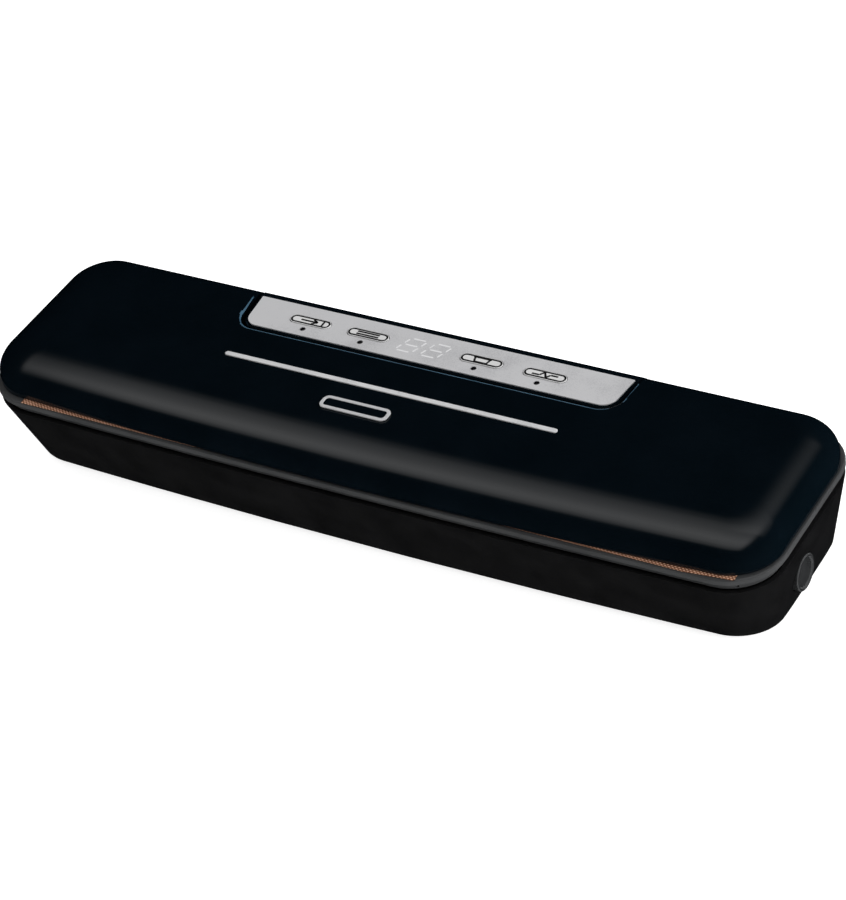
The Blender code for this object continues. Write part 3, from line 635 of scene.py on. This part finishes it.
def makeTub():
    s = tub
    half, top, bottom = s["half"], s["top"], s["bottom"]
    depth = (s["front"], s["back"])
    body = roundedBox("base_housing", (-half, half), depth, (bottom, top), s["cornerRadius"], 18)
    reach = half - s["cornerRadius"]
    sliceAcross(body, [reach * (-1 + i / 10) for i in range(1, 20)])
    low, high = s["bow"]
    bowFront(body, reach, lambda z: low + (high - low) * (z - bottom) / (top - bottom))
    pick(body, "VERT", lambda point: point.z < bottom + 0.01)
    bpy.ops.transform.resize(value=(*s["floorShare"], 1), center_override=(0, s["floorCentre"] * mm, 0))
    bpy.ops.object.mode_set(mode="OBJECT")
    pick(body, "EDGE", lambda a, b: levelAt(bottom)(a, b) and not crossesFloor(a, b))
    bevelPicked(s["bottomRound"], 3)
    pick(body, "FACE", lambda centre, normal: normal.z > 0.9 and centre.z > top - 0.1)
    bpy.ops.mesh.delete(type="FACE")
    useModifier(body, "SOLIDIFY", thickness=s["wall"] * mm, offset=-1, use_even_offset=True)
    pick(body, "VERT", lambda point: point.z > top - 0.2)
    bpy.ops.transform.resize(value=(1, 1, 0), center_override=(0, 0, top * mm))
    bpy.ops.object.mode_set(mode="OBJECT")
    tidyMesh(body)
    seatRadius, seatDepth = s["screwSeat"]
    for side in (-1, 1):
        middle = (side * release["holeX"], release["y"], release["z"])
        combine(body, addRod("button_hole", release["hole"], middle, 22, "X", 48))
        for x, y in s["screws"]:
            place = (side * x, y, bottom + 0.5)
            combine(body, addRod("screw_seat", seatRadius, place, seatDepth, "Z", 32))
    wide, tall = inlet["half"]
    x, z = inlet["x"], inlet["z"]
    combine(body, addBox("inlet_hole", (x - wide, x + wide), inlet["y"], (z - tall, z + tall)))
    tidyMesh(body)
    softenEdges(body, s["edgeRound"], 2)
    return body


def crossesFloor(a, b):
    # the cuts across the floor run from front to back
    return abs(a.y - b.y) > 30


mount(makeTub(), "base", ["base_tub"], "black", sparkBlackAbs)
print("base housing done")


# Deck, console, liner, seals and tape, finished from the frame's solids.

softEdge = {"deck": 0.3, "liner": 0.25, "seal": 0.45, "pressing": 0.5}

rimDeck = copyNode("base_deck", "rim_deck", dissolved=False)
smoothSkin(rimDeck)
mount(rimDeck, "base", ["base_deck"], "rim", satinGreyAbs)

for node, name, slot, finish in (
    ("control_console", "console_bridge", "navy", glossNavyAbs),
    ("vacuum_tray", "vacuum_trough_tray", "black", sparkBlackAbs),
):
    deckPiece = copyNode(node, name)
    softenEdges(deckPiece, softEdge["deck"], 2)
    mount(deckPiece, "base", [node], slot, finish)

liner = copyNode("lid_liner", "lid_inner_liner")
softenEdges(liner, softEdge["liner"], 2)
mount(liner, "lid", ["lid_liner"], "black", sparkBlackAbs)

for node, name, body in (
    ("lower_gasket", "lower_sponge_seal", "base"),
    ("upper_gasket", "upper_sponge_seal", "lid"),
):
    seal = copyNode(node, name)
    softenEdges(seal, softEdge["seal"], 4)
    mount(seal, body, [node], "foam", spongeSeal)

# the glass cloth's front edge draws back a little under the lid between its ends
tape = {"front": -45.0, "reach": 177.0, "middle": 5.8, "drawIn": 1.9}


def makeTape():
    cloth = copyNode("ptfe_tape", "glass_cloth_tape", dissolved=False)
    for vertex in cloth.data.vertices:
        x, y, _ = vertex.co / mm
        if y < tape["front"]:
            share = max(1 - ((x - tape["middle"]) / tape["reach"]) ** 2, 0)
            vertex.co.y += tape["drawIn"] * share * mm
    smoothSkin(cloth)
    return cloth


mount(makeTape(), "base", ["ptfe_tape"], "tape", coatedGlassCloth)

pressing = copyNode("press_bar", "pressing_strip")
softenEdges(pressing, softEdge["pressing"], 4)
mount(pressing, "lid", ["press_bar"], "silicone", redSilicone)
print("deck, console, liner and seals done")


# Control plate, buttons, lamps and display.

plate = {"inset": 3.4, "back": 39.3, "z": (59.9, 60.7), "edge": 0.15}
buttons = {
    "x": (-61.3, -31.1, 26.9, 58.4), "y": 29.6, "length": 20.8, "width": 5.4, "gap": 0.35,
    "z": (57.0, 61.0), "crown": 0.2, "line": 0.95, "inkDepth": 0.04, "inkStep": 0.02,
    "signBar": 1.0, "signStretch": (1.25, 1.1), "signProud": 0.02,
}
lamps = {"x": (-62.2, -32.1, 25.9, 57.2), "y": 23.9, "z": 60, "hole": 1.35}
display = {
    "x": (-8.6, 4.0), "y": 29.2, "height": 9.2, "width": 8.4, "slant": 0.4, "top": 60.72,
    "bar": 0.8, "barShare": 0.72, "barGap": 0.9,
}


def pillBlock(name, x, growth, z):
    length = buttons["length"] / 2 + growth
    width = buttons["width"] / 2 + growth
    y = (buttons["y"] - width, buttons["y"] + width)
    return roundedBox(name, (x - length, x + length), y, z, width, 10)


def makeControlPlate():
    film = notchBlock("control_plate", plate["inset"], plate["back"], plate["z"])
    for x in buttons["x"]:
        combine(film, pillBlock("button_cutter", x, buttons["gap"], (50, 64)))
    for x in lamps["x"]:
        place = (x, lamps["y"], lamps["z"])
        combine(film, addRod("lamp_cutter", lamps["hole"], place, 8, "Z", 24))
    softenEdges(film, plate["edge"], 2)
    return film


def makeButton():
    x = buttons["x"][0]
    low, high = buttons["z"]
    button = pillBlock("push_button_1_cap", x, 0.0, (low, high))
    pick(button, "EDGE", levelAt(high))
    bevelPicked(buttons["crown"], 4)
    pick(button, "FACE", lambda centre, normal: normal.z > 0.99 and centre.z > high - 0.01)
    ink, step = buttons["inkDepth"], buttons["inkStep"]
    insetPicked((step, 0.0), (step, -ink), (buttons["line"], 0.0), (step, ink))
    smoothSkin(button, 30)
    return button


def addBar(start, end, width, low, high):
    # a thin flat bar between two points of the plan
    deselectAll()
    a, b = Vector(start), Vector(end)
    middle = (a + b) / 2
    place = (middle.x * mm, middle.y * mm, (low + high) / 2 * mm)
    bpy.ops.mesh.primitive_cube_add(size=1, location=place)
    bar = bpy.context.object
    bar.scale = ((b - a).length * mm, width * mm, (high - low) * mm)
    bar.rotation_euler.z = (b - a).angle_signed(Vector((1, 0)), 0)
    settle(bar, "bar")
    pick(bar, "EDGE", upright)
    bevelPicked(width * 0.35, 2)
    return bar


signs = {
    # plan lines of each button's sign: air drawn out, sealed bag, canister, pulse
    1: [((-4, 0), (3, 0)), ((3, 0), (0.8, 1.4)), ((3, 0), (0.8, -1.4)), ((5.2, 1.5), (5.2, -1.5))],
    2: [((-4.6, 0.7), (4.6, 0.7)), ((-4.6, -0.7), (4.6, -0.7))],
    3: [((-3.6, 1.3), (3.6, 1.3)), ((-3, 1.3), (-2.4, -1.4)), ((-2.4, -1.4), (2.4, -1.4)),
        ((2.4, -1.4), (3, 1.3))],
    4: [((-5, -0.6), (-2, -0.6)), ((-2, -0.6), (-0.6, 1.4)), ((-0.6, 1.4), (0.8, -1.4)),
        ((0.8, -1.4), (2, 0.4)), ((2, 0.4), (5, 0.4))],
}


def makeSign(number):
    x, y, high = buttons["x"][number - 1], buttons["y"], buttons["z"][1]
    wider, taller = buttons["signStretch"]
    bars = []
    for (ax, ay), (bx, by) in signs[number]:
        start = (x + ax * wider, y + ay * taller)
        end = (x + bx * wider, y + by * taller)
        top = high + buttons["signProud"]
        bars.append(addBar(start, end, buttons["signBar"], high - 0.1, top))
    return joinPieces(f"push_button_{number}_sign", bars)


def makeDigits():
    # two unlit seven-bar figures, which take the display window's place
    bars = []
    tall, wide, slant = display["height"] / 2, display["width"] / 2, display["slant"]
    share, gap = display["barShare"], display["barGap"]
    rows = (-tall, 0.0, tall)
    for middle in display["x"]:
        def corner(side, row):
            return (middle + side * wide + row * slant, display["y"] + row)
        for row in rows:
            bars.append((corner(-share, row), corner(share, row)))
        for low, high in zip(rows, rows[1:]):
            for side in (-1, 1):
                bars.append((corner(side, low + gap), corner(side, high - gap)))
    low, high = plate["z"][1] - 0.1, display["top"]
    made = [addBar(start, end, display["bar"], low, high) for start, end in bars]
    return joinPieces("display_figures", made)


mount(makeControlPlate(), "base", ["fascia_plate"], "silver", silverFilm)
firstButton = makeButton()
for number, x in enumerate(buttons["x"], 1):
    shift = (x - buttons["x"][0], 0, 0)
    body = f"push_button_{number}"
    cap = firstButton if number == 1 else copyPiece(firstButton, f"{body}_cap", shift)
    # the caps' paler film is a painted highlight, and the outline ink is their second finish
    mount(cap, body, [f"button_{number}"], "silver", highlightPaleFilm, lineInk)
    paintSunken(cap, buttons["z"][1] - buttons["inkDepth"])
    mount(makeSign(number), body, [], "lamp", markInk)
mount(makeDigits(), "base", ["display_window"], "lens", digitGuide)
print("control panel done")


# Release buttons on the end walls.

def makeRelease():
    s = release
    low, high = s["flangeX"]
    place = ((low + high) / 2, s["y"], s["z"])
    cap = addRod("release_right_cap", s["radius"] + s["flange"], place, high - low, "X", 56)
    pick(cap, "FACE", lambda centre, normal: normal.x > 0.9)
    insetPicked((s["flange"], 0.0), (0.0001, s["face"] - high))
    pick(cap, "EDGE", lambda a, b: min(a.x, b.x) > s["face"] - 0.01)
    bevelPicked(s["round"], 5)
    pick(cap, "FACE", lambda centre, normal: normal.x > 0.99 and centre.x > s["face"] - 0.01)
    insetPicked(*s["dish"])
    pick(cap, "EDGE", lambda a, b: abs(a.x - high) < 0.01 and abs(b.x - high) < 0.01)
    bevelPicked(s["flangeRound"], 2)
    smoothSkin(cap, 50)
    return cap


# Satin black ABS: the press face of the release buttons.
capBlackAbs = surfaceFinish("black_abs_satin_mould", {
    "tints": ("#232425", "#2b2c2d"), "blotch": 8.0, "rough": (0.26, 0.34),
    "grain": 0.6, "bump": 0.08, "relief": 0.02, "ior": 1.5,
})
# The same ABS painted paler on the press face's rounded edge: a painted highlight.
paintedHighlightEdgeAbs = surfaceFinish("black_abs_painted_edge_highlight", {
    "tints": ("#3c3d3e", "#4a4b4c"), "blotch": 3.0, "rough": (0.2, 0.28),
    "grain": 0.4, "bump": 0.04, "relief": 0.01, "ior": 1.5,
})


def paintReleaseEdgeHighlight(cap):
    # the narrow round between the press face and its wall takes the painted highlight
    for face in cap.data.polygons:
        outside = abs(face.center.x) / mm > release["face"] - release["round"]
        if outside and 0.3 < abs(face.normal.x) < 0.97:
            face.material_index = 1


rightRelease = makeRelease()
leftRelease = copyPiece(rightRelease, "release_left_cap", mirror=True)
# the second finish is the painted highlight on the press face's rounded edge
mount(rightRelease, "release_right", ["release_button_right"], "black", capBlackAbs, paintedHighlightEdgeAbs)
mount(leftRelease, "release_left", ["release_button_left"], "black", capBlackAbs, paintedHighlightEdgeAbs)
paintReleaseEdgeHighlight(rightRelease)
paintReleaseEdgeHighlight(leftRelease)
print("release buttons done")


# Frame solids that keep their shape.

coats = {
    "heating_strip": zincSteel, "seal_bar": satinGreyAbs,
    "power_inlet": sparkBlackAbs, "inlet_pin_left": nickelPin, "inlet_pin_right": nickelPin,
    "catch_hook_left": sparkBlackAbs, "catch_hook_right": sparkBlackAbs,
    "release_latch_left": zincSteel, "release_latch_right": zincSteel,
    "hinge_pin_left": zincSteel, "hinge_pin_right": zincSteel,
    "control_board": maskedBoard, "power_board": maskedBoard, "pump_motor": zincSteel,
    "pump_head": filledNylon, "intake_nozzle": filledNylon, "power_transformer": filledNylon,
    "vacuum_hose": milkyHose,
}
for number in range(1, 5):
    coats[f"indicator_lamp_{number}"] = lampSmoke
    coats[f"tact_switch_{number}"] = filledNylon
    coats[f"base_screw_{number}"] = zincSteel
    coats[f"liner_screw_{number}"] = zincSteel
for corner in ("fl", "fr", "rl", "rr"):
    coats[f"foot_{corner}"] = footRubber
for node, finish in coats.items():
    coat(node, finish)
print("frame solids coated:", len(coats))


# Studio, in metres: pale floor, a wide graded softbox overhead, others behind and to the right.

studio = {"floorTint": "#f6f6f6", "floorGlow": 0.8, "worldGlow": 0.35}
# scrim lists (share along the box's width, strength), soft is the share of its length over which
# each end dies away, and a box that isn't mirrored lights the sealer but never shows in its gloss
softboxes = {
    "key_softbox": {
        "place": (-0.25, 0.05, 1.2), "aim": (-0.25, 0.05, 0), "size": (1.9, 1.46), "power": 11.0,
        "soft": 0.16, "mirrored": True,
        "scrim": ((0.0, 0.0), (1.0, 0.0), (0.12, 0.45), (0.25, 0.85), (0.37, 1.0), (0.47, 0.85),
                  (0.55, 0.66), (0.65, 0.5), (0.75, 0.36), (0.84, 0.15)),
    },
    "rear_softbox": {
        "place": (0.4, 0.85, 1.26), "aim": (0.4, 0.85, 0), "size": (1.5, 1.2), "power": 2.7,
        "soft": 0.5, "mirrored": True, "scrim": ((0.0, 0.9), (1.0, 0.0), (0.5, 1.0)),
    },
    "side_softbox": {
        "place": (1.25, 0.05, 0.35), "aim": (0.19, 0, 0.03), "size": (0.7, 0.7), "power": 9.0,
        "soft": 0.1, "mirrored": False, "scrim": ((0.0, 1.0), (1.0, 1.0)),
    },
    "back_softbox": {
        "place": (0.95, 1.3, 0.45), "aim": (0, 0.05, 0.03), "size": (1.2, 0.6), "power": 14.0,
        "soft": 0.3, "mirrored": False, "scrim": ((0.0, 1.0), (1.0, 1.0)),
    },
}
view = {
    # azimuth and elevation round the sealer, a tilt of the horizon, and a slide in the picture plane
    "azimuth": 36.92, "elevation": 38.72, "tilt": -11.33, "distance": 1.39795,
    "aim": (0, 0.0008, 0.025), "slide": (-0.00623, -0.00047), "lens": 127.2,
}


def addFloor():
    deselectAll()
    bpy.ops.mesh.primitive_plane_add(size=12)
    floor = settle(bpy.context.object, "studio_floor")
    material, tree, shader = startMaterial("painted_studio_floor", {"tints": (studio["floorTint"],)})
    place = addNode(tree, "TexCoord", {}, {}).outputs["Object"]
    speck = addNode(tree, "TexNoise", {}, {"Vector": place, "Scale": 8.0})
    rough = addNode(tree, "MapRange", {}, {"Value": speck.outputs["Fac"], "To Min": 0.7, "To Max": 0.9})
    tree.links.new(rough.outputs["Result"], shader.inputs["Roughness"])
    shader.inputs["Base Color"].default_value = hexColour(studio["floorTint"])
    shader.inputs["Emission Color"].default_value = (1, 1, 1, 1)
    shader.inputs["Emission Strength"].default_value = studio["floorGlow"]
    shader.inputs["Specular IOR Level"].default_value = 0.0
    floor.data.materials.append(material)
    floor.visible_glossy = False


def addSoftbox(name, look):
    place, aim = Vector(look["place"]), Vector(look["aim"])
    back = (place - aim).normalized()
    across = Vector((0, 1, 0)).cross(back).normalized()
    along = back.cross(across)
    data = bpy.data.lights.new(name, "AREA")
    data.shape = "RECTANGLE"
    data.size, data.size_y = look["size"]
    data.energy = look["power"]
    lamp = bpy.data.objects.new(name, data)
    bpy.context.scene.collection.objects.link(lamp)
    turn = Matrix((across, along, back)).transposed().to_4x4()
    lamp.matrix_world = Matrix.Translation(place) @ turn
    data.use_nodes = True
    tree = data.node_tree
    geometry = addNode(tree, "NewGeometry", {}, {})
    parts = addNode(tree, "SeparateXYZ", {}, {"Vector": geometry.outputs["Parametric"]})
    ramp = addNode(tree, "ValToRGB", {}, {"Fac": parts.outputs["Y"]})
    ramp.color_ramp.interpolation = "EASE"
    for i, (share, strength) in enumerate(look["scrim"]):
        stops = ramp.color_ramp.elements
        stop = stops[i] if i < 2 else stops.new(share)
        stop.position = share
        stop.color = (strength, strength, strength, 1)
    inward = addNode(tree, "Math", {"operation": "PINGPONG"}, {0: parts.outputs["X"], 1: 0.5})
    ends = addNode(
        tree, "MapRange", {"interpolation_type": "SMOOTHSTEP"},
        {"Value": inward.outputs[0], "From Min": 0.0, "From Max": look["soft"]},
    )
    both = addNode(
        tree, "Math", {"operation": "MULTIPLY"},
        {0: ramp.outputs["Color"], 1: ends.outputs["Result"]},
    )
    tree.links.new(both.outputs[0], tree.nodes["Emission"].inputs["Strength"])
    lamp.visible_glossy = look["mirrored"]


def addWorld():
    world = bpy.data.worlds.new("studio_room")
    bpy.context.scene.world = world
    world.use_nodes = True
    world.node_tree.nodes["Background"].inputs["Color"].default_value = (1, 1, 1, 1)
    world.node_tree.nodes["Background"].inputs["Strength"].default_value = studio["worldGlow"]
    world.cycles_visibility.glossy = False


def addCamera():
    a, e, r = radians(view["azimuth"]), radians(view["elevation"]), radians(view["tilt"])
    back = Vector((sin(a) * cos(e), -cos(a) * cos(e), sin(e)))
    level = Vector((cos(a), sin(a), 0))
    rise = back.cross(level)
    right = cos(r) * level + sin(r) * rise
    up = cos(r) * rise - sin(r) * level
    data = bpy.data.cameras.new("camera")
    data.lens = view["lens"]
    data.clip_start, data.clip_end = 0.05, 60
    camera = bpy.data.objects.new("camera", data)
    bpy.context.scene.collection.objects.link(camera)
    slide = right * view["slide"][0] + up * view["slide"][1]
    place = Vector(view["aim"]) + back * view["distance"] - slide
    camera.matrix_world = Matrix.Translation(place) @ Matrix((right, up, back)).transposed().to_4x4()
    bpy.context.scene.camera = camera


addFloor()
addWorld()
for name, look in softboxes.items():
    addSoftbox(name, look)
addCamera()
bpy.context.scene.view_settings.view_transform = "Standard"
print("studio done")
